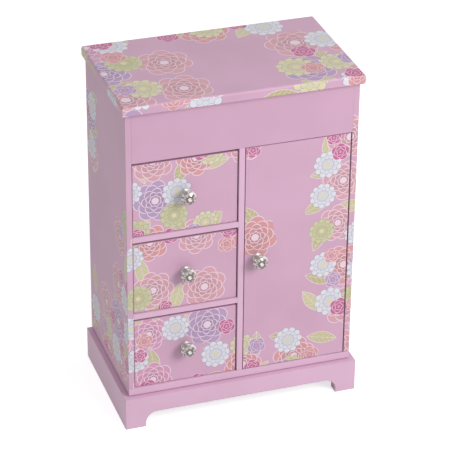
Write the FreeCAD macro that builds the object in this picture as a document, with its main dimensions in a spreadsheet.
"""Upright musical jewellery box: a lidded cabinet with three drawers, a necklace door and a spring-driven
music movement that turns a dancer in the top compartment.

Frame in millimetres: +Z up, front towards -Y, origin in the middle of the footprint on the surface below.
"""

import FreeCAD
import Part
import math
import os
import re
import Sketcher

Vector = FreeCAD.Vector

# Driving dimensions: name, value in millimetres (or a count, or degrees), what it is.
DIMENSIONS = [
    ("body_width", 200, "cabinet across the side panels"),
    ("body_depth", 118, "cabinet from front edges to back panel"),
    ("body_top", 297.5, "height of the rim that the lid closes on"),
    ("board", 5, "thickness of the cabinet boards"),
    ("base_board", 7.5, "thickness of the bottom board"),
    ("plinth_height", 29.5, "top of the plinth"),
    ("plinth_thick", 10, "thickness of the plinth rails"),
    ("plinth_step", 4.5, "ledge of the plinth beside the cabinet"),
    ("plinth_front_step", 5, "ledge of the plinth in front of the cabinet"),
    ("foot_width", 18, "bracket foot at each end of the front rail"),
    ("arch_height", 13.8, "height of the arch between the feet"),
    ("arch_radius", 10, "rounding of the arch where it meets a foot"),
    ("lid_thick", 7.8, "lid board"),
    ("lid_side_over", 3.3, "lid overhang at the sides"),
    ("lid_front_over", 4.8, "lid overhang at the front"),
    ("lid_round", 2.2, "rounding of the lid's upper edges"),
    ("mirror_width", 160, "mirror in the lid"),
    ("mirror_depth", 84, "mirror in the lid"),
    ("mirror_thick", 2, "mirror glass"),
    ("mirror_gap", 0.2, "margin round the mirror in its recess"),
    ("apron_bottom", 252, "lower edge of the front apron"),
    ("divider_x", -1, "middle of the board between drawers and door"),
    ("drawer_gap", 0.8, "gap round a drawer front"),
    ("drawer_recess", 1.5, "drawer front set back from the frame"),
    ("drawer_face", 6, "thickness of a drawer front"),
    ("drawer_depth", 96, "drawer box behind its front"),
    ("drawer_wall", 4, "drawer sides and back"),
    ("drawer_headroom", 18, "drawer sides lower than the opening"),
    ("drawer_rest", 0.3, "running clearance under a drawer"),
    ("drawer_side_gap", 0.9, "running clearance beside a drawer box"),
    ("drawer_bottom", 2.5, "drawer bottom panel"),
    ("felt", 1, "felt lining"),
    ("felt_gap", 0.5, "margin round a felt lining"),
    ("door_thick", 6, "necklace door"),
    ("door_gap", 0.7, "gap round the door"),
    ("door_round", 1.4, "rounding of the hinge-side front edge"),
    ("pivot_inset", 3.2, "door pivot from the door's hinge edge"),
    ("pivot_depth", 2.6, "door pivot behind the door's face"),
    ("pivot_radius", 1, "door pivot pin"),
    ("pivot_length", 6, "depth of a pivot pin's hole in the door and in the frame"),
    ("pivot_end_gap", 0.2, "pin short of the end of its hole in the door"),
    ("running_gap", 0.05, "radial clearance of a turning fit"),
    ("door_knob_inset", 11, "door knob from the door's free edge"),
    ("door_knob_height", 147, "height of the door knob"),
    ("knob_flange", 4.2, "radius of the knob's foot"),
    ("knob_flange_thick", 0.8, "thickness of the knob's foot"),
    ("knob_neck", 2.6, "radius of the knob's neck"),
    ("knob_cup", 4.6, "radius of the cup that holds the crystal"),
    ("knob_stem", 5.5, "length of the metal foot, neck and cup"),
    ("crystal_radius", 6.6, "widest radius of the crystal"),
    ("crystal_table", 4, "radius of the crystal's flat front"),
    ("crystal_pavilion", 3, "crystal from the cup to its girdle"),
    ("crystal_girdle", 0.9, "straight belt round the crystal"),
    ("crystal_crown", 3.6, "crystal from the girdle to its flat front"),
    ("crystal_facets", 12, "facets round the crystal"),
    ("hinge_x", 62, "lid hinges from the middle"),
    ("hinge_length", 24, "length of a lid hinge"),
    ("hinge_leaf", 0.8, "thickness of a hinge leaf"),
    ("hinge_leaf_drop", 14, "leaf on the back panel, down from the rim"),
    ("hinge_leaf_rise", 5.6, "leaf on the lid, up from the rim"),
    ("hinge_offset", 1.8, "hinge axis behind the back panel"),
    ("knuckle_radius", 1.6, "outside of a hinge knuckle"),
    ("hinge_pin_radius", 0.8, "hinge pin"),
    ("hinge_pin_head", 1.4, "radius of the heads that hold the hinge pin"),
    ("hinge_pin_head_thick", 0.6, "thickness of those heads"),
    ("knuckle_gap", 0.2, "gap between hinge knuckles"),
    ("catch_size", 10, "height of the magnetic catch"),
    ("catch_depth", 6, "width and depth of the catch block"),
    ("catch_gap", 0.3, "gap between catch and strike plate"),
    ("catch_rise", 10, "catch above the door knob"),
    ("strike_thick", 0.8, "strike plate"),
    ("strike_inset", 1, "strike plate from the divider"),
    ("tray_wall", 3, "divider in the top compartment"),
    ("tray_wall_x", 2, "middle of that divider"),
    ("tray_wall_height", 24, "height of that divider"),
    ("roll_count", 5, "ring rolls"),
    ("roll_crown", 0.8, "swell of a ring roll at its middle"),
    ("roll_gap", 0.6, "gap beside a ring roll"),
    ("roll_corner", 3.2, "rounding of a ring roll's ends"),
    ("roll_press", 1.2, "flattening of a ring roll where it lies on the floor"),
    ("hook_wire", 1, "radius of a necklace hook's wire"),
    ("hook_drop", 12, "straight part of a hook"),
    ("hook_bend", 4, "bend radius of a hook"),
    ("hook_count", 3, "necklace hooks"),
    ("hook_pitch", 24, "distance between hooks"),
    ("hook_y", -14, "row of hooks, from the middle of the cabinet"),
    ("movement_x", 48, "winding axis from the middle of the cabinet"),
    ("movement_drop", 19.5, "winding axis below the compartment floor"),
    ("frame_half", 13, "half height of the movement frame"),
    ("frame_plate", 2, "thickness of the frame's plates"),
    ("frame_left", 26, "frame plate to the left of the winding axis"),
    ("frame_right", 25, "frame plate to the right of the winding axis"),
    ("bridge_depth", 28, "reach of the frame's bridges from the back panel"),
    ("bridge_left", 6, "bridges to the left of the winding axis"),
    ("post_width", 10, "post that carries the comb"),
    ("post_margin", 3, "post shorter than the frame at each end"),
    ("tooth_module", 0.75, "module of the crown wheel and its pinion"),
    ("crown_teeth", 24, "teeth of the barrel's crown wheel"),
    ("crown_face", 1.4, "face width of the pinion on the crown wheel"),
    ("crown_margin", 0.2, "crown teeth longer than the pinion's face, each way"),
    ("pinion_teeth", 18, "teeth of the cylinder's pinion"),
    ("train_module", 0.5, "module of the governor train"),
    ("train_teeth", 20, "teeth of the cylinder wheel and the wheel it drives"),
    ("train_angle", 18, "degrees from +X down to that wheel's axis"),
    ("wheel_face", 1.3, "face width of the train's wheels"),
    ("wheel_drop", 8.8, "underside of the cylinder wheel below the winding axis"),
    ("fast_drop", 10.6, "underside of the governor's wheel below the winding axis"),
    ("governor_wheel_teeth", 24, "teeth of the wheel that drives the governor"),
    ("governor_pinion_teeth", 10, "teeth of the governor pinion"),
    ("tooth_backlash", 0.16, "thinning of each tooth"),
    ("barrel_radius", 10.2, "spring barrel"),
    ("barrel_wall", 0.8, "wall of the spring barrel"),
    ("barrel_length", 7, "length of the spring barrel"),
    ("barrel_clearance", 0.5, "barrel clear of the frame plate"),
    ("arbor_radius", 2, "winding arbor"),
    ("arbor_front", 0.5, "arbor in front of the barrel"),
    ("arbor_hole_gap", 0.6, "arbor clear of the back panel"),
    ("arbor_tail", 3, "arbor behind the back panel, inside the key"),
    ("spring_strip", 0.35, "thickness of the mainspring strip"),
    ("spring_pitch", 1, "distance between turns of the mainspring"),
    ("spring_turns", 6, "turns of the mainspring"),
    ("spring_gap", 0.3, "mainspring clear of the arbor and the barrel's ends"),
    ("cylinder_radius", 4.7, "music cylinder"),
    ("pin_height", 0.4, "pins of the music cylinder"),
    ("pin_radius", 0.2, "pins of the music cylinder"),
    ("notes_per_tooth", 3, "pins for each comb tooth"),
    ("spindle_radius", 1.25, "spindles of the train and the dancer"),
    ("spindle_end_gap", 0.2, "spindles past the frame's faces"),
    ("comb_teeth", 18, "tuned teeth of the comb"),
    ("comb_pitch", 0.76, "distance between comb teeth"),
    ("comb_slot", 0.24, "slot between comb teeth"),
    ("comb_root", 12, "solid part of the comb"),
    ("comb_thick", 1, "comb plate"),
    ("comb_gap", 0.3, "comb tip from the cylinder's pins"),
    ("fan_radius", 5, "governor fan"),
    ("fan_blade", 0.8, "thickness of the fan's blades"),
    ("fan_height", 8, "height of the fan's blades"),
    ("fan_drop", 6.6, "underside of the fan below the winding axis"),
    ("stop_radius", 1, "stop rod that the lid holds down"),
    ("stop_collar", 2, "radius of the rod's collar"),
    ("stop_collar_thick", 1.2, "thickness of that collar"),
    ("stop_travel", 4, "rise of the stop rod"),
    ("stop_gap", 0.3, "stop rod clear of lid, floor and governor"),
    ("key_lobe", 5, "radius of a wing of the key"),
    ("key_spread", 5.75, "middle of a wing from the winding axis"),
    ("key_eye", 2.3, "radius of the hole in a wing"),
    ("key_thick", 2.4, "thickness of the key's wings"),
    ("key_reach", 13, "key behind the back panel"),
    ("key_socket_wall", 1.4, "wall of the key's socket"),
    ("key_gap", 0.6, "key clear of the back panel"),
    ("turntable_radius", 9, "disc under the dancer"),
    ("turntable_thick", 2, "disc under the dancer"),
    ("turntable_gap", 0.3, "disc clear of the compartment floor"),
    ("turntable_socket", 1, "depth of the spindle in the disc"),
    ("dancer_height", 34, "dancer from disc to finger tips"),
    ("tutu_radius", 13, "edge of the skirt"),
    ("cover_wall", 1.6, "cover over the movement"),
    ("cover_gap", 1, "cover clear of the movement"),
]

# Places worked out from the driving dimensions.
PLACES = {
    "left": "-body_width / 2",
    "right": "body_width / 2",
    "front": "-body_depth / 2",
    "back": "body_depth / 2",
    "inner_left": "left + board",
    "inner_right": "right - board",
    "inner_front": "front + board",
    "inner_back": "back - board",
    "base_top": "plinth_height + base_board",
    "floor_top": "apron_bottom + board",
    "lid_top": "body_top + lid_thick",
    "divider_left": "divider_x - board / 2",
    "divider_right": "divider_x + board / 2",
    "opening_height": "(apron_bottom - base_top - 2 * board) / 3",
    "shelf_pitch": "opening_height + board",
    "plinth_low_x": "left - plinth_step",
    "plinth_high_x": "right + plinth_step",
    "plinth_face": "front - plinth_front_step",
    "plinth_rear": "plinth_face + plinth_thick",
    "hinge_y": "back + hinge_offset",
    "door_left": "divider_right + door_gap",
    "door_right": "inner_right - door_gap",
    "door_bottom": "base_top + door_gap",
    "door_top": "apron_bottom - door_gap",
    "door_back": "front + door_thick",
    "pivot_x": "door_right - pivot_inset",
    "pivot_y": "front + pivot_depth",
    "face_back": "front + drawer_recess + drawer_face",
    "movement_z": "apron_bottom - movement_drop",
    "frame_face": "inner_back - frame_plate",
    "frame_top": "movement_z + frame_half",
    "frame_bottom": "movement_z - frame_half",
    "frame_low_x": "movement_x - frame_left",
    "frame_high_x": "movement_x + frame_right",
    "bridge_front": "inner_back - bridge_depth",
    "barrel_front": "frame_face - barrel_clearance - barrel_length",
    "crown_radius": "tooth_module * crown_teeth / 2",
    "crown_root": "1.25 * tooth_module",
    "pinion_pitch": "tooth_module * pinion_teeth / 2",
    "spindle_y": "barrel_front - crown_root - pinion_pitch",
    "train_distance": "train_module * train_teeth",
    "train_x": "movement_x + train_distance * cos(train_angle)",
    "train_y": "spindle_y - train_distance * sin(train_angle)",
    "governor_x": "train_x + train_module * (governor_wheel_teeth + governor_pinion_teeth) / 2",
    "disc_bottom": "floor_top + turntable_gap",
}

# Pressure angle of the teeth, and how far they stand above and reach below the pitch line, in modules.
PRESSURE_ANGLE = math.radians(20)
ADDENDUM = 0.9
DEDENDUM = 1.2

# Degrees from one note's pins to the next, and how far a cutting tool runs past the solid that it cuts.
PIN_STEP = 137.5
OVERRUN = "1"

# Where a knob's neck starts and ends and its cup starts, in shares of its metal stem.
NECK_START, NECK_END, CUP_START = 0.3, 0.6, 0.85

document = FreeCAD.newDocument("jewellery_box")
dims = document.addObject("Spreadsheet::Sheet", "dims")
for row, (alias, number, note) in enumerate(DIMENSIONS, start=1):
    dims.set(f"A{row}", alias)
    dims.set(f"B{row}", str(number))
    dims.set(f"C{row}", note)
    dims.setAlias(f"B{row}", alias)
document.recompute()
ALIASES = {alias for alias, _, _ in DIMENSIONS}
calculator = document.addObject("App::FeaturePython", "calculator")
subparts = []


def expression(text):
    """The sheet expression for words of DIMENSIONS and PLACES."""

    def swap(found):
        word = found.group(0)
        if word in ALIASES:
            return "dims." + word
        if word in PLACES:
            return "(" + expression(PLACES[word]) + ")"
        return word

    return re.sub(r"[a-z][a-z0-9_]*", swap, str(text))


def value(text):
    """The number that an expression has now."""
    return float(calculator.evalExpression(expression(text)))


def keep(label, item):
    """Registers a finished sub-part under its label."""
    item.Label = label
    subparts.append((label, item))
    return item


def bind(item, **properties):
    """Binds properties of an object to expressions; double underscores stand for dots."""
    for name, text in properties.items():
        item.setExpression(name.replace("__", "."), expression(text))
    return item


def place(item, x="0", y="0", z="0"):
    """Binds an object's position."""
    return bind(item, Placement__Base__x=x, Placement__Base__y=y, Placement__Base__z=z)


def block(name, x, y, z):
    """A board between two places along each axis."""
    item = document.addObject("Part::Box", name)
    sizes = [f"({high}) - ({low})" for low, high in (x, y, z)]
    bind(item, Length=sizes[0], Width=sizes[1], Height=sizes[2])
    return place(item, x[0], y[0], z[0])


TURNS = {
    "x": FreeCAD.Rotation(Vector(0, 1, 0), 90),
    "y": FreeCAD.Rotation(Vector(1, 0, 0), -90),
    "z": FreeCAD.Rotation(),
}


def rod(name, axis, centre, radius, span):
    """A cylinder along an axis from one place to another, centred on the other two coordinates."""
    item = document.addObject("Part::Cylinder", name)
    bind(item, Radius=radius, Height=f"({span[1]}) - ({span[0]})")
    item.Placement = FreeCAD.Placement(Vector(), TURNS[axis])
    spot = dict(zip([letter for letter in "xyz" if letter != axis], centre))
    spot[axis] = span[0]
    return place(item, **spot)


def joined(name, items):
    """One solid from several."""
    item = document.addObject("Part::MultiFuse", name)
    item.Shapes = items
    return item


def grouped(name, items):
    """Separate solids in one node."""
    item = document.addObject("Part::Compound", name)
    item.Links = items
    return item


def cut(name, base, *tools):
    """A solid with pockets or holes taken out."""
    item = document.addObject("Part::Cut", name)
    item.Base = base
    item.Tool = tools[0] if len(tools) == 1 else joined(name + "_tools", list(tools))
    return item


def shaped(name, shape):
    """A solid whose shape is worked out by formula from values of the sheet."""
    item = document.addObject("Part::Feature", name)
    item.Shape = shape
    return item


def sketch(body, name, role, loop, offset="0"):
    """A closed polygon whose corners are bound to expressions, on one of the body's origin planes."""
    made = body.newObject("Sketcher::SketchObject", name)
    plane = [feature for feature in body.Origin.OriginFeatures if feature.Role == role][0]
    made.AttachmentSupport = [(plane, "")]
    made.MapMode = "FlatFace"
    bind(made, AttachmentOffset__Base__z=offset)
    spots = [Vector(value(x), value(y), 0) for x, y in loop]
    count = len(loop)
    for i in range(count):
        made.addGeometry(Part.LineSegment(spots[i], spots[(i + 1) % count]), False)
    for i in range(count):
        made.addConstraint(Sketcher.Constraint("Coincident", i, 2, (i + 1) % count, 1))
    for i, corner in enumerate(loop):
        for kind, text in zip(("DistanceX", "DistanceY"), corner):
            index = made.addConstraint(Sketcher.Constraint(kind, -1, 1, i, 1, value(text)))
            made.setExpression(f"Constraints[{index}]", expression(text))
    return made


def edges_where(shape, test):
    """Names of the edges whose middle point passes a test."""
    found = []
    for number, edge in enumerate(shape.Edges, start=1):
        middle = edge.valueAt((edge.FirstParameter + edge.LastParameter) / 2)
        if test(middle):
            found.append(f"Edge{number}")
    return found


def near(first, second):
    """Whether two lengths are the same place."""
    return abs(first - second) < 1e-6


def padded_body(name, role, loop, start, length):
    """A body padded from a polygon; returns the body and its pad."""
    body = document.addObject("PartDesign::Body", name)
    pad = body.newObject("PartDesign::Pad", name + "_pad")
    pad.Profile = sketch(body, name + "_sketch", role, loop, start)
    bind(pad, Length=length)
    document.recompute()
    return body, pad


def rounded(body, base, name, radius, test):
    """Rounds the edges of a body's last feature that pass a test."""
    fillet = body.newObject("PartDesign::Fillet", name)
    fillet.Base = (base, edges_where(base.Shape, test))
    bind(fillet, Radius=radius)
    document.recompute()
    return fillet


def turned_body(name, loop):
    """A body revolved about +Y from a profile of (radius, place along Y)."""
    body = document.addObject("PartDesign::Body", name)
    profile = sketch(body, name + "_profile", "XY_Plane", loop)
    turn = body.newObject("PartDesign::Revolution", name + "_turn")
    turn.Profile = profile
    turn.ReferenceAxis = (profile, ["V_Axis"])
    turn.Angle = 360
    return body


# Plinth
def build_plinth():
    """A bracket-footed front rail, two plain side rails and a back rail under the cabinet."""
    arch_left = "plinth_low_x + foot_width"
    arch_right = "plinth_high_x - foot_width"
    loop = [
        ("plinth_low_x", "0"),
        (arch_left, "0"),
        (arch_left, "arch_height"),
        (arch_right, "arch_height"),
        (arch_right, "0"),
        ("plinth_high_x", "0"),
        ("plinth_high_x", "plinth_height"),
        ("plinth_low_x", "plinth_height"),
    ]
    body, pad = padded_body("plinth_front", "XZ_Plane", loop, "-(plinth_rear)", "plinth_thick")
    top = value("arch_height")
    corners = (value(arch_left), value(arch_right))

    def is_arch_corner(point):
        return near(point.z, top) and any(near(point.x, corner) for corner in corners)

    rounded(body, pad, "plinth_front_arch", "arch_radius", is_arch_corner)
    keep("plinth_front", body)
    rise = ("0", "plinth_height")
    run = ("plinth_rear", "back - plinth_thick")
    sides = [
        block("plinth_left_side", ("plinth_low_x", "plinth_low_x + plinth_thick"), run, rise),
        block("plinth_right_side", ("plinth_high_x - plinth_thick", "plinth_high_x"), run, rise),
    ]
    keep("plinth_sides", grouped("plinth_sides", sides))
    rear = block("plinth_back", ("plinth_low_x", "plinth_high_x"), ("back - plinth_thick", "back"), rise)
    keep("plinth_back", rear)


# Cabinet boards
def build_cabinet():
    """The boards of the cabinet; their front edges are the frame round the drawers and the door."""
    depth = ("front", "back")
    rise = ("base_top", "body_top")
    across = ("inner_left", "inner_right")
    pivot = ("pivot_x", "pivot_y")
    pin_hole = "pivot_radius + running_gap"
    base = block("base_blank", ("left", "right"), depth, ("plinth_height", "base_top"))
    low_span = ("base_top - pivot_length", f"base_top + {OVERRUN}")
    keep("bottom_board", cut("bottom_board", base, rod("lower_pivot_hole", "z", pivot, pin_hole, low_span)))
    keep("left_side_panel", block("left_side_panel", ("left", "inner_left"), depth, rise))
    keep("right_side_panel", block("right_side_panel", ("inner_right", "right"), depth, rise))
    back = block("back_blank", across, ("inner_back", "back"), rise)
    key_span = (f"inner_back - {OVERRUN}", f"back + {OVERRUN}")
    key_axis = ("movement_x", "movement_z")
    key_hole = rod("key_hole", "y", key_axis, "arbor_radius + arbor_hole_gap", key_span)
    keep("back_panel", cut("back_panel", back, key_hole))
    inside = ("front", "inner_back")
    upright = ("base_top", "apron_bottom")
    keep("centre_divider", block("centre_divider", ("divider_left", "divider_right"), inside, upright))
    shelves = []
    for number in (1, 2):
        top = f"base_top + {number} * shelf_pitch"
        bay = ("inner_left", "divider_left")
        shelves.append(block(f"drawer_shelf_{number}", bay, inside, (f"{top} - board", top)))
    keep("drawer_shelves", grouped("drawer_shelves", shelves))
    apron = block("apron_blank", across, ("front", "inner_front"), ("apron_bottom", "body_top"))
    high_span = (f"apron_bottom - {OVERRUN}", "apron_bottom + pivot_length")
    keep("front_apron", cut("front_apron", apron, rod("upper_pivot_hole", "z", pivot, pin_hole, high_span)))
    floor = block("floor_blank", across, ("inner_front", "inner_back"), ("apron_bottom", "floor_top"))
    through = (f"apron_bottom - {OVERRUN}", f"floor_top + {OVERRUN}")
    spindle_hole = rod("spindle_hole", "z", ("movement_x", "spindle_y"), "spindle_radius + felt_gap", through)
    stop_hole = rod("stop_hole", "z", ("governor_x", "train_y"), "stop_radius + running_gap", through)
    keep("compartment_floor", cut("compartment_floor", floor, spindle_hole, stop_hole))


# Lid with its mirror and hinges
def build_lid():
    """The lid board with rounded upper edges and a mirror let into its underside."""
    outline = [
        ("left - lid_side_over", "front - lid_front_over"),
        ("right + lid_side_over", "front - lid_front_over"),
        ("right + lid_side_over", "back"),
        ("left - lid_side_over", "back"),
    ]
    body, pad = padded_body("lid_board", "XY_Plane", outline, "body_top", "lid_thick")
    top, back = value("lid_top"), value("back")

    def is_rounded_edge(point):
        return near(point.z, top) and not near(point.y, back)

    edge_round = rounded(body, pad, "lid_edge", "lid_round", is_rounded_edge)
    half_x, half_y = "mirror_width / 2", "mirror_depth / 2"
    corners = [(f"-{half_x}", f"-{half_y}"), (half_x, f"-{half_y}"), (half_x, half_y), (f"-{half_x}", half_y)]
    recess = body.newObject("PartDesign::Pocket", "mirror_recess")
    recess.Profile = sketch(body, "mirror_outline", "XY_Plane", corners, "body_top")
    recess.Reversed = True
    bind(recess, Length="mirror_thick")
    document.recompute()
    lost = edge_round.Shape.Volume - recess.Shape.Volume
    if not abs(lost - value("mirror_width * mirror_depth * mirror_thick")) < 1:
        raise ValueError(f"the mirror recess took out {lost} cubic millimetres")
    keep("lid_panel", body)
    glass_x = (f"-{half_x} + mirror_gap", f"{half_x} - mirror_gap")
    glass_y = (f"-{half_y} + mirror_gap", f"{half_y} - mirror_gap")
    keep("lid_mirror", block("lid_mirror", glass_x, glass_y, ("body_top", "body_top + mirror_thick")))


def build_lid_hinges():
    """Two butt hinges on the back: outer knuckles on the back panel's leaf, the middle one on the lid's."""
    fixed, moving, pins = [], [], []
    for side, middle in (("left", "-hinge_x"), ("right", "hinge_x")):
        start = f"{middle} - hinge_length / 2"
        end = f"{middle} + hinge_length / 2"
        first = f"{start} + hinge_length / 3"
        second = f"{end} - hinge_length / 3"
        outer = [(start, f"{first} - knuckle_gap"), (f"{second} + knuckle_gap", end)]
        low_leaf = ("body_top - hinge_leaf_drop", "body_top - knuckle_radius")
        high_leaf = ("body_top + knuckle_radius", "body_top + hinge_leaf_rise")
        fixed.append(hinge_half(f"{side}_fixed", (start, end), outer, low_leaf, "-"))
        moving.append(hinge_half(f"{side}_moving", (start, end), [(first, second)], high_leaf, "+"))
        axis = ("hinge_y", "body_top")
        heads = [(f"{start} - hinge_pin_head_thick", start), (end, f"{end} + hinge_pin_head_thick")]
        parts = [rod(f"{side}_pin_stem", "x", axis, "hinge_pin_radius", (start, end))]
        for number, span in enumerate(heads):
            parts.append(rod(f"{side}_pin_head_{number}", "x", axis, "hinge_pin_head", span))
        pins.append(joined(f"{side}_hinge_pin", parts))
    keep("lid_hinge_fixed_leaves", grouped("fixed_leaves", fixed))
    keep("lid_hinge_moving_leaves", grouped("moving_leaves", moving))
    keep("lid_hinge_pins", grouped("hinge_pins", pins))


def hinge_half(name, span, knuckles, leaf_z, sign):
    """One half of a butt hinge: a leaf on the back face, and knuckles on webs above or below the axis."""
    axis = ("hinge_y", "body_top")
    pieces = [block(f"{name}_leaf", span, ("back", "back + hinge_leaf"), leaf_z)]
    level = f"body_top {sign} knuckle_radius"
    web_z = (f"{level} - hinge_leaf / 2", f"{level} + hinge_leaf / 2")
    for number, run in enumerate(knuckles):
        pieces.append(rod(f"{name}_knuckle_{number}", "x", axis, "knuckle_radius", run))
        pieces.append(block(f"{name}_web_{number}", run, ("back", "hinge_y"), web_z))
    bore_span = (f"{span[0]} - {OVERRUN}", f"{span[1]} + {OVERRUN}")
    bore = rod(f"{name}_bore", "x", axis, "hinge_pin_radius + running_gap", bore_span)
    return cut(name, joined(f"{name}_blank", pieces), bore)


# Knobs
def build_knob(name, x, face, z):
    """A faceted crystal in a turned metal cup, on a face that looks towards -Y."""
    stem = [
        ("0", "0"),
        ("knob_flange", "0"),
        ("knob_flange", "-knob_flange_thick"),
        ("knob_neck", f"-{NECK_START} * knob_stem"),
        ("knob_neck", f"-{NECK_END} * knob_stem"),
        ("knob_cup", f"-{CUP_START} * knob_stem"),
        ("knob_cup", "-knob_stem"),
        ("0", "-knob_stem"),
    ]
    base = turned_body(f"{name}_knob_base", stem)
    keep(f"{name}_knob_base", place(base, x, face, z))
    girdle = "knob_stem + crystal_pavilion"
    levels = [
        ("knob_cup", "knob_stem"),
        ("crystal_radius", girdle),
        ("crystal_radius", f"{girdle} + crystal_girdle"),
        ("crystal_table", f"{girdle} + crystal_girdle + crystal_crown"),
    ]
    rings = []
    for number, (radius, reach) in enumerate(levels):
        ring = document.addObject("Part::RegularPolygon", f"{name}_crystal_ring_{number}")
        bind(ring, Polygon="crystal_facets", Circumradius=radius)
        ring.Placement = FreeCAD.Placement(Vector(), FreeCAD.Rotation(Vector(1, 0, 0), 90))
        rings.append(place(ring, x, f"{face} - ({reach})", z))
    crystal = document.addObject("Part::Loft", f"{name}_crystal")
    crystal.Sections = rings
    crystal.Solid = True
    crystal.Ruled = True
    keep(f"{name}_knob_crystal", crystal)


# Drawers
def build_drawer(name, number):
    """A drawer: front, two sides and a back, bottom panel, felt lining and knob."""
    low = f"base_top + {number} * shelf_pitch"
    face_x = ("inner_left + drawer_gap", "divider_left - drawer_gap")
    face_z = (f"{low} + drawer_gap", f"{low} + opening_height - drawer_gap")
    keep(f"{name}_front", block(f"{name}_front", face_x, ("front + drawer_recess", "face_back"), face_z))
    outer = ("inner_left + drawer_side_gap", "divider_left - drawer_side_gap")
    inner = (f"{outer[0]} + drawer_wall", f"{outer[1]} - drawer_wall")
    run = ("face_back", "face_back + drawer_depth")
    wall_z = (f"{low} + drawer_rest", f"{low} + opening_height - drawer_headroom")
    sides = [
        block(f"{name}_left_side", (outer[0], inner[0]), run, wall_z),
        block(f"{name}_right_side", (inner[1], outer[1]), run, wall_z),
    ]
    keep(f"{name}_sides", grouped(f"{name}_sides", sides))
    keep(f"{name}_back", block(f"{name}_back", inner, (f"{run[1]} - drawer_wall", run[1]), wall_z))
    bed_y = (run[0], f"{run[1]} - drawer_wall")
    bed_z = (wall_z[0], f"{wall_z[0]} + drawer_bottom")
    keep(f"{name}_bottom", block(f"{name}_bottom", inner, bed_y, bed_z))
    felt_x = (f"{inner[0]} + felt_gap", f"{inner[1]} - felt_gap")
    felt_y = (f"{bed_y[0]} + felt_gap", f"{bed_y[1]} - felt_gap")
    keep(f"{name}_lining", block(f"{name}_lining", felt_x, felt_y, (bed_z[1], f"{bed_z[1]} + felt")))
    middle = "(inner_left + divider_left) / 2"
    build_knob(name, middle, "front + drawer_recess", f"{low} + opening_height / 2")


# Necklace door
def build_door():
    """An inset door on two pivot pins, with a knob, a strike plate and a magnetic catch on the divider."""
    loop = [
        ("door_left", "front"),
        ("door_right", "front"),
        ("door_right", "door_back"),
        ("door_left", "door_back"),
    ]
    body, pad = padded_body("door_board", "XY_Plane", loop, "door_bottom", "door_top - door_bottom")
    hinge_edge, face = value("door_right"), value("front")

    def is_hinge_edge(point):
        return near(point.x, hinge_edge) and near(point.y, face)

    rounded(body, pad, "door_edge", "door_round", is_hinge_edge)
    centre = ("pivot_x", "pivot_y")
    bore = "pivot_radius + running_gap"
    low_span = (f"door_bottom - {OVERRUN}", "door_bottom + pivot_length")
    high_span = ("door_top - pivot_length", f"door_top + {OVERRUN}")
    lower = rod("door_lower_bore", "z", centre, bore, low_span)
    upper = rod("door_upper_bore", "z", centre, bore, high_span)
    keep("door_panel", cut("door_panel", body, lower, upper))
    low_pin = ("base_top - pivot_length", "door_bottom + pivot_length - pivot_end_gap")
    high_pin = ("door_top - pivot_length + pivot_end_gap", "apron_bottom + pivot_length")
    pins = [
        rod("lower_pivot", "z", centre, "pivot_radius", low_pin),
        rod("upper_pivot", "z", centre, "pivot_radius", high_pin),
    ]
    keep("door_pivot_pins", grouped("door_pivot_pins", pins))
    build_knob("door", "door_left + door_knob_inset", "front", "door_knob_height")
    level = "door_knob_height + catch_rise"
    high = (level, f"{level} + catch_size")
    plate_x = ("divider_right + strike_inset", "divider_right + strike_inset + catch_depth")
    plate_y = ("door_back", "door_back + strike_thick")
    keep("door_strike_plate", block("door_strike_plate", plate_x, plate_y, high))
    catch_x = ("divider_right", "divider_right + catch_depth")
    catch_y = (f"{plate_y[1]} + catch_gap", f"{plate_y[1]} + catch_gap + catch_depth")
    keep("door_magnet_catch", block("door_magnet_catch", catch_x, catch_y, high))


# Fittings of the compartments
def build_fittings():
    """Ring rolls and divider in the top compartment, felt beside them, and hooks behind the door."""
    wall_x = ("tray_wall_x - tray_wall / 2", "tray_wall_x + tray_wall / 2")
    wall_z = ("floor_top", "floor_top + tray_wall_height")
    keep("tray_divider", block("tray_divider", wall_x, ("inner_front", "inner_back"), wall_z))
    felt_x = (f"{wall_x[1]} + felt_gap", "inner_right - felt_gap")
    felt_y = ("inner_front + felt_gap", "inner_back - felt_gap")
    pad = block("tray_felt", felt_x, felt_y, ("floor_top", "floor_top + felt"))
    through = (f"floor_top - {OVERRUN}", f"floor_top + felt + {OVERRUN}")
    disc = rod("disc_opening", "z", ("movement_x", "spindle_y"), "turntable_radius + felt_gap", through)
    stop = rod("stop_opening", "z", ("governor_x", "train_y"), "stop_radius + felt_gap", through)
    keep("tray_lining", cut("tray_lining", pad, disc, stop))
    keep("ring_rolls", shaped("ring_rolls", ring_rolls(value("inner_left"), value(wall_x[0]))))
    keep("necklace_hooks", shaped("necklace_hooks", necklace_hooks()))


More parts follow.
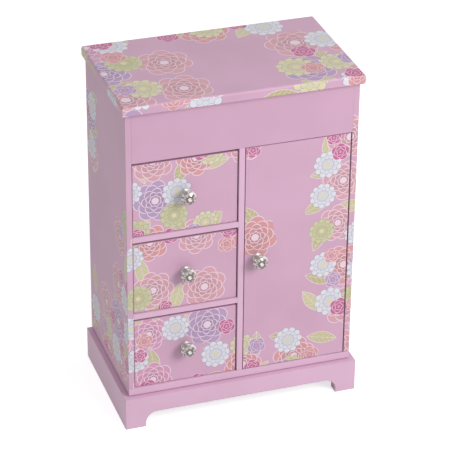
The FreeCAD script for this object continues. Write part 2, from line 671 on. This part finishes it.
def ring_rolls(start, end):
    """Foam rolls side by side along X, fuller at their middle, rounded at their ends and flat underneath."""
    count = int(value("roll_count"))
    gap, corner, floor = value("roll_gap"), value("roll_corner"), value("floor_top")
    pitch = value("inner_back - inner_front") / count
    radius = (pitch - gap) / 2
    rim = radius - value("roll_crown")
    low, high = start + gap, end - gap
    crown = Vector((low + high) / 2, radius, 0)
    inset = corner * (1 - math.sqrt(0.5))
    left_edge, right_edge = Vector(low, rim - corner, 0), Vector(high, rim - corner, 0)
    left_top, right_top = Vector(low + corner, rim, 0), Vector(high - corner, rim, 0)
    left_end, right_end = Vector(low, 0, 0), Vector(high, 0, 0)
    curves = [
        Part.LineSegment(left_end, left_edge),
        Part.Arc(left_edge, Vector(low + inset, rim - inset, 0), left_top),
        Part.LineSegment(left_top, crown),
        Part.LineSegment(crown, right_top),
        Part.Arc(right_top, Vector(high - inset, rim - inset, 0), right_edge),
        Part.LineSegment(right_edge, right_end),
        Part.LineSegment(right_end, left_end),
    ]
    outline = Part.Face(Part.Wire([curve.toShape() for curve in curves]))
    axis_height = floor + radius - value("roll_press")
    rolls = []
    for number in range(count):
        row = value("inner_front") + pitch * (number + 0.5)
        roll = outline.revolve(Vector(), Vector(1, 0, 0), 360)
        roll.translate(Vector(0, row, axis_height))
        under = Part.makeBox(end - start, pitch, pitch, Vector(start, row - pitch / 2, floor - pitch))
        rolls.append(roll.cut(under))
    return Part.makeCompound(rolls)


def necklace_hooks():
    """Round wire hooks that hang from the ceiling of the necklace compartment, open towards the door."""
    wire, drop, bend = value("hook_wire"), value("hook_drop"), value("hook_bend")
    count, pitch, row = int(value("hook_count")), value("hook_pitch"), value("hook_y")
    top = value("apron_bottom")
    middle = value("(divider_right + inner_right) / 2")
    hooks = []
    for number in range(count):
        start = Vector(middle + (number - (count - 1) / 2) * pitch, row, top)
        low = start - Vector(0, 0, drop)
        curl = Part.Arc(low, low + Vector(0, -bend, -bend), low + Vector(0, -2 * bend, 0)).toShape()
        path = Part.Wire([Part.LineSegment(start, low).toShape(), curl])
        ring = Part.Wire([Part.Circle(start, Vector(0, 0, 1), wire).toShape()])
        hooks.append(path.makePipeShell([ring], True, False))
    return Part.makeCompound(hooks)


# Teeth of the music movement
def involute_gear(teeth, module, face, thin):
    """A spur gear about +Z from z = 0 to its face width, with involute flanks and thinned teeth."""
    pitch = module * teeth / 2
    base = pitch * math.cos(PRESSURE_ANGLE)
    tip, root = pitch + ADDENDUM * module, pitch - DEDENDUM * module
    spread = math.tan(PRESSURE_ANGLE) - PRESSURE_ANGLE
    half = math.pi / (2 * teeth) - thin / (2 * pitch) + spread
    start = max(base, root)
    flank = []
    for step in range(4):
        radius = start + (tip - start) * step / 3
        roll = math.acos(base / radius)
        flank.append((radius, half - (math.tan(roll) - roll)))
    if root < base:
        flank.insert(0, (root, flank[0][1]))
    points = []
    for tooth in range(teeth):
        middle = 2 * math.pi * tooth / teeth
        outline = [(radius, middle - angle) for radius, angle in flank]
        outline += [(radius, middle + angle) for radius, angle in reversed(flank)]
        points += [Vector(radius * math.cos(turn), radius * math.sin(turn), 0) for radius, turn in outline]
    points.append(points[0])
    return Part.Face(Part.makePolygon(points)).extrude(Vector(0, 0, face))


def crown_tooth(radius, module, half_face, thin, root):
    """One straight tooth of a crown wheel about Y, at the top of the wheel, standing out from y = 0 to -Y."""
    half = math.pi * module / 4 - thin / 2
    lean = math.tan(PRESSURE_ANGLE)
    height = root + ADDENDUM * module
    foot, tip = half + root * lean, half - (height - root) * lean
    low = radius - half_face
    corners = [(-foot, 0), (foot, 0), (tip, -height), (-tip, -height), (-foot, 0)]
    outline = Part.makePolygon([Vector(x, y, low) for x, y in corners])
    return Part.Face(outline).extrude(Vector(0, 0, 2 * half_face))


# Frame, barrel and key of the music movement
def build_movement_frame():
    """A C-shaped frame on the back panel: a plate, two bridges and the post that carries the comb."""
    plate_y = ("frame_face", "inner_back")
    bridge_x = ("movement_x - bridge_left", "frame_high_x")
    bridge_y = ("bridge_front", "frame_face")
    post_y = ("spindle_y + comb_thick / 2", "frame_face")
    post_z = ("frame_bottom + post_margin", "frame_top - post_margin")
    pieces = [
        block("frame_back", ("frame_low_x", "frame_high_x"), plate_y, ("frame_bottom", "frame_top")),
        block("frame_upper", bridge_x, bridge_y, ("frame_top - frame_plate", "frame_top")),
        block("frame_lower", bridge_x, bridge_y, ("frame_bottom", "frame_bottom + frame_plate")),
        block("comb_post", ("frame_low_x", "frame_low_x + post_width"), post_y, post_z),
    ]
    winding = ("movement_x", "movement_z")
    winding_span = (f"frame_face - {OVERRUN}", f"inner_back + {OVERRUN}")
    holes = [rod("frame_winding_hole", "y", winding, "arbor_radius + running_gap", winding_span)]
    span = (f"frame_bottom - {OVERRUN}", f"frame_top + {OVERRUN}")
    axes = [("movement_x", "spindle_y"), ("train_x", "train_y"), ("governor_x", "train_y")]
    for number, axis in enumerate(axes):
        holes.append(rod(f"frame_hole_{number}", "z", axis, "spindle_radius + running_gap", span))
    keep("movement_frame", cut("movement_frame", joined("frame_blank", pieces), *holes))


def build_spring_barrel():
    """The spring barrel with its crown wheel, the mainspring inside it, and the winding arbor."""
    radius, wall, length = value("barrel_radius"), value("barrel_wall"), value("barrel_length")
    away = Vector(0, 1, 0)
    cup = Part.makeCylinder(radius, length, Vector(), away)
    hollow = Part.makeCylinder(radius - wall, length, Vector(0, wall, 0), away)
    bore = Part.makeCylinder(value("arbor_radius + running_gap"), length, Vector(0, -wall, 0), away)
    half_face = value("crown_face / 2 + crown_margin")
    root = value("crown_root")
    thin = value("tooth_backlash")
    tooth = crown_tooth(value("crown_radius"), value("tooth_module"), half_face, thin, root)
    count = int(value("crown_teeth"))
    teeth = []
    for number in range(count):
        copy = tooth.copy()
        copy.rotate(Vector(), away, 360 * (number + 0.5) / count)
        teeth.append(copy)
    barrel = cup.cut([hollow, bore]).fuse(teeth)
    centre = Vector(value("movement_x"), value("barrel_front"), value("movement_z"))
    barrel.translate(centre)
    keep("spring_barrel", shaped("spring_barrel", barrel))
    gap = value("spring_gap")
    spring = mainspring(value("arbor_radius") + gap, length - wall - 2 * gap, radius - wall)
    spring.translate(centre + Vector(0, wall + gap, 0))
    keep("mainspring", shaped("mainspring", spring))
    span = ("barrel_front - arbor_front", "back + arbor_tail")
    keep("winding_arbor", rod("winding_arbor", "y", ("movement_x", "movement_z"), "arbor_radius", span))


def mainspring(inner, width, wall):
    """A flat spiral strip of half-circle arcs about +Y, whose outer end is hooked to the barrel's wall."""
    strip, pitch = value("spring_strip"), value("spring_pitch")

    def spiral(start):
        arcs, x, radius, side = [], start, start, 1
        for _ in range(int(2 * value("spring_turns"))):
            centre = x - side * radius
            far = centre - side * radius
            top = Vector(centre, 0, side * radius)
            arcs.append(Part.Arc(Vector(x, 0, 0), top, Vector(far, 0, 0)).toShape())
            x, side, radius = far, -side, radius + pitch / 2
        return arcs, Vector(x, 0, 0)

    inner_arcs, inner_end = spiral(inner)
    outer_arcs, outer_end = spiral(inner + strip)
    start_edge = Part.LineSegment(Vector(inner, 0, 0), Vector(inner + strip, 0, 0)).toShape()
    end_edge = Part.LineSegment(inner_end, outer_end).toShape()
    edges = Part.__sortEdges__(inner_arcs + outer_arcs + [start_edge, end_edge])
    coil = Part.Face(Part.Wire(edges)).extrude(Vector(0, width, 0))
    hook = Part.makeBox(wall - inner_end.x, width, strip, inner_end - Vector(0, 0, strip / 2))
    hook = hook.common(Part.makeCylinder(wall, width, Vector(), Vector(0, 1, 0)))
    return coil.fuse(hook)


def build_key():
    """A winding key: a round socket on the arbor with two pierced wings."""
    middle = ("movement_x", "movement_z")
    wing_y = "back + key_reach - key_lobe"
    wing_x = ("movement_x - key_thick / 2", "movement_x + key_thick / 2")
    eye_x = ("movement_x - key_thick", "movement_x + key_thick")
    socket_span = ("back + key_gap", wing_y)
    pieces = [rod("key_socket", "y", middle, "arbor_radius + key_socket_wall", socket_span)]
    holes = [rod("key_socket_bore", "y", middle, "arbor_radius", ("back", "back + arbor_tail"))]
    for side, sign in (("upper", "+"), ("lower", "-")):
        centre = (wing_y, f"movement_z {sign} key_spread")
        pieces.append(rod(f"key_{side}_wing", "x", centre, "key_lobe", wing_x))
        holes.append(rod(f"key_{side}_eye", "x", centre, "key_eye", eye_x))
    web_y = (f"{wing_y} - key_lobe / 2", f"{wing_y} + key_lobe / 2")
    web_z = ("movement_z - key_spread + key_eye", "movement_z + key_spread - key_eye")
    pieces.append(block("key_web", wing_x, web_y, web_z))
    keep("winding_key", cut("winding_key", joined("key_blank", pieces), *holes))


# Cylinder, comb and train of the music movement
def build_cylinder():
    """The pinned music cylinder with its pinion and wheel on the spindle that carries the dancer's disc."""
    thin, face = value("tooth_backlash"), value("crown_face")
    up = Vector(0, 0, 1)
    axis = Vector(value("movement_x"), value("spindle_y"), 0)
    wheel_low = value("movement_z - wheel_drop")
    drum_low, drum_high = wheel_low + value("wheel_face"), value("movement_z + crown_radius") - face / 2
    pinion = involute_gear(int(value("pinion_teeth")), value("tooth_module"), face, thin)
    pinion.rotate(Vector(), up, 90)
    pinion.translate(axis + up * drum_high)
    wheel = involute_gear(int(value("train_teeth")), value("train_module"), value("wheel_face"), thin)
    wheel.translate(axis + up * wheel_low)
    drum = Part.makeCylinder(value("cylinder_radius"), drum_high - drum_low, axis + up * drum_low)
    low, high = value("frame_bottom + spindle_end_gap"), value("disc_bottom + turntable_socket")
    spindle = Part.makeCylinder(value("spindle_radius"), high - low, axis + up * low)
    shape = drum.fuse([pinion, wheel, spindle] + cylinder_pins(axis))
    keep("music_cylinder", shaped("music_cylinder", shape))


def cylinder_pins(axis):
    """Short pins in the path of each comb tooth, stepped round the drum like a tune."""
    count, notes, pitch = int(value("comb_teeth")), int(value("notes_per_tooth")), value("comb_pitch")
    radius, height, thick = value("cylinder_radius"), value("pin_height"), value("pin_radius")
    pins = []
    for number in range(count):
        level = Vector(0, 0, value("movement_z") + (number - (count - 1) / 2) * pitch)
        for note in range(notes):
            turn = math.radians(PIN_STEP * number + 360 * note / notes)
            outward = Vector(math.cos(turn), math.sin(turn), 0)
            foot = axis + level + outward * (radius - height)
            pins.append(Part.makeCylinder(thick, 2 * height, foot, outward))
    return pins


def build_comb():
    """The steel comb: a plate on the frame's post with tuned teeth that reach the cylinder."""
    tips = "movement_x - cylinder_radius - pin_height - comb_gap"
    low = "movement_z - comb_teeth * comb_pitch / 2"
    high = "movement_z + comb_teeth * comb_pitch / 2"
    plate_y = ("spindle_y - comb_thick / 2", "spindle_y + comb_thick / 2")
    blank = block("comb_blank", ("frame_low_x", tips), plate_y, (low, high))
    slot_x = ("frame_low_x + comb_root", f"{tips} + {OVERRUN}")
    slot_y = (f"{plate_y[0]} - {OVERRUN}", f"{plate_y[1]} + {OVERRUN}")
    slots = []
    for number in range(1, int(value("comb_teeth"))):
        level = f"{low} + {number} * comb_pitch"
        slot_z = (f"{level} - comb_slot / 2", f"{level} + comb_slot / 2")
        slots.append(block(f"comb_slot_{number}", slot_x, slot_y, slot_z))
    keep("music_comb", cut("music_comb", blank, *slots))


def build_governor():
    """The wheel pair between cylinder and governor, and the governor's pinion with its two-bladed fan."""
    thin, module, face = value("tooth_backlash"), value("train_module"), value("wheel_face")
    spindle = value("spindle_radius")
    up = Vector(0, 0, 1)
    low, high = value("frame_bottom + spindle_end_gap"), value("frame_top + spindle_end_gap")
    slow_low, fast_low = value("movement_z - wheel_drop"), value("movement_z - fast_drop")
    axis = Vector(value("train_x"), value("train_y"), 0)
    count = int(value("train_teeth"))
    slow = involute_gear(count, module, face, thin)
    slow.rotate(Vector(), up, 180 + 180 / count - 2 * value("train_angle"))
    slow.translate(axis + up * slow_low)
    fast = involute_gear(int(value("governor_wheel_teeth")), module, face, thin)
    fast.translate(axis + up * fast_low)
    hub = Part.makeCylinder(2 * spindle, slow_low - fast_low, axis + up * fast_low)
    shaft = Part.makeCylinder(spindle, high - low, axis + up * low)
    keep("intermediate_wheel", shaped("intermediate_wheel", shaft.fuse([slow, fast, hub])))
    axis = Vector(value("governor_x"), value("train_y"), 0)
    count = int(value("governor_pinion_teeth"))
    pinion = involute_gear(count, module, face, thin)
    pinion.rotate(Vector(), up, 180 + 180 / count)
    pinion.translate(axis + up * fast_low)
    reach, blade = value("fan_radius"), value("fan_blade")
    corner = axis + Vector(-reach, -blade / 2, value("movement_z - fan_drop"))
    blades = Part.makeBox(2 * reach, blade, value("fan_height"), corner)
    shaft = Part.makeCylinder(spindle, high - low, axis + up * low)
    keep("governor_fan", shaped("governor_fan", shaft.fuse([pinion, blades])))


def build_stop_rod():
    """The rod that the lid holds down on the governor's arbor; it rises as far as its collar allows."""
    centre = ("governor_x", "train_y")
    span = ("frame_top + spindle_end_gap + stop_gap", "body_top - stop_gap")
    collar_top = "apron_bottom - stop_travel - stop_gap"
    stem = rod("stop_stem", "z", centre, "stop_radius", span)
    collar = rod("stop_ring", "z", centre, "stop_collar", (f"{collar_top} - stop_collar_thick", collar_top))
    keep("stop_rod", joined("stop_rod", [stem, collar]))


def build_movement_cover():
    """A moulded cover, open at its top and back, that hides the movement behind the door."""
    hollow_x = ("frame_low_x - cover_gap", "frame_high_x + cover_gap")
    hollow_front = "bridge_front - cover_gap"
    hollow_floor = "frame_bottom - cover_gap"
    x = (f"{hollow_x[0]} - cover_wall", f"{hollow_x[1]} + cover_wall")
    y = (f"{hollow_front} - cover_wall", "inner_back")
    z = (f"{hollow_floor} - cover_wall", "apron_bottom")
    shell = block("cover_shell", x, y, z)
    hollow_y = (hollow_front, f"inner_back + {OVERRUN}")
    hollow = block("cover_hollow", hollow_x, hollow_y, (hollow_floor, f"apron_bottom + {OVERRUN}"))
    keep("movement_cover", cut("movement_cover", shell, hollow))


# Dancer
def build_dancer():
    """A small dancer on pointe with raised arms, on a disc at the top of the spindle."""
    foot = Vector(value("movement_x"), value("spindle_y"), value("disc_bottom"))
    thick = value("turntable_thick")
    disc = Part.makeCylinder(value("turntable_radius"), thick, foot)
    socket = Part.makeCylinder(value("spindle_radius"), value("turntable_socket"), foot)
    keep("dancer_turntable", shaped("dancer_turntable", disc.cut(socket)))
    figure = dancer_figure(value("dancer_height"), value("tutu_radius"))
    figure.translate(foot + Vector(0, 0, thick))
    keep("dancer", shaped("dancer", figure))


def dancer_figure(tall, tutu):
    """The dancer about +Z, toe at z = 0, in shares of the figure's height."""
    profile = [
        (0.018, 0), (0.03, 0.06), (0.045, 0.16), (0.04, 0.24), (0.055, 0.38), (0.07, 0.45),
        (tutu / tall, 0.46), (tutu / tall, 0.475), (0.1, 0.53), (0.055, 0.56),
        (0.075, 0.64), (0.06, 0.69), (0.026, 0.71), (0.024, 0.75), (0, 0.75),
    ]

    def spot(x, y, z):
        return Vector(x, y, z) * tall

    outline = [Vector()] + [spot(radius, 0, level) for radius, level in profile] + [Vector()]
    trunk = Part.Face(Part.makePolygon(outline)).revolve(Vector(), Vector(0, 0, 1), 360)
    knee, toe = spot(0.16, -0.04, 0.36), spot(0.03, -0.02, 0.2)
    pieces = [
        Part.makeSphere(0.058 * tall, spot(0, 0, 0.79)),
        Part.makeSphere(0.034 * tall, spot(0, 0.03, 0.852)),
        limb(spot(0.03, 0, 0.45), knee, 0.045 * tall, 0.036 * tall),
        Part.makeSphere(0.037 * tall, knee),
        limb(knee, toe, 0.036 * tall, 0.018 * tall),
    ]
    for side in (-1, 1):
        elbow = spot(side * 0.16, 0, 0.83)
        pieces += [
            limb(spot(side * 0.055, 0, 0.675), elbow, 0.024 * tall, 0.02 * tall),
            Part.makeSphere(0.021 * tall, elbow),
            limb(elbow, spot(side * 0.03, 0, 0.985), 0.02 * tall, 0.014 * tall),
        ]
    return trunk.fuse(pieces)


def limb(start, end, thick, thin):
    """A cone between two points."""
    along = end - start
    return Part.makeCone(thick, thin, along.Length, start, along)


def build_all():
    """Every sub-part, from the plinth up."""
    build_plinth()
    build_cabinet()
    build_lid()
    build_lid_hinges()
    for number, name in enumerate(("lower_drawer", "middle_drawer", "upper_drawer")):
        build_drawer(name, number)
    build_door()
    build_fittings()
    build_movement_frame()
    build_spring_barrel()
    build_key()
    build_cylinder()
    build_comb()
    build_governor()
    build_stop_rod()
    build_movement_cover()
    build_dancer()


def check_and_write():
    """Stops if any object failed or any sub-part isn't a valid solid, then writes one file for each."""
    document.recompute()
    for item in document.Objects:
        if {"Invalid", "Error"} & set(item.State):
            raise RuntimeError(f"{item.Label} failed: {item.State}")
    for label, item in subparts:
        if item.Shape.isNull() or not item.Shape.isValid() or not item.Shape.Solids:
            raise RuntimeError(f"{label} is not a valid solid")
    os.makedirs("parts", exist_ok=True)
    for label, item in subparts:
        item.Shape.exportStep(os.path.join("parts", label + ".step"))
        print(f"{label}: {len(item.Shape.Solids)} solids, {item.Shape.Volume:.1f} mm3")


build_all()
check_and_write()
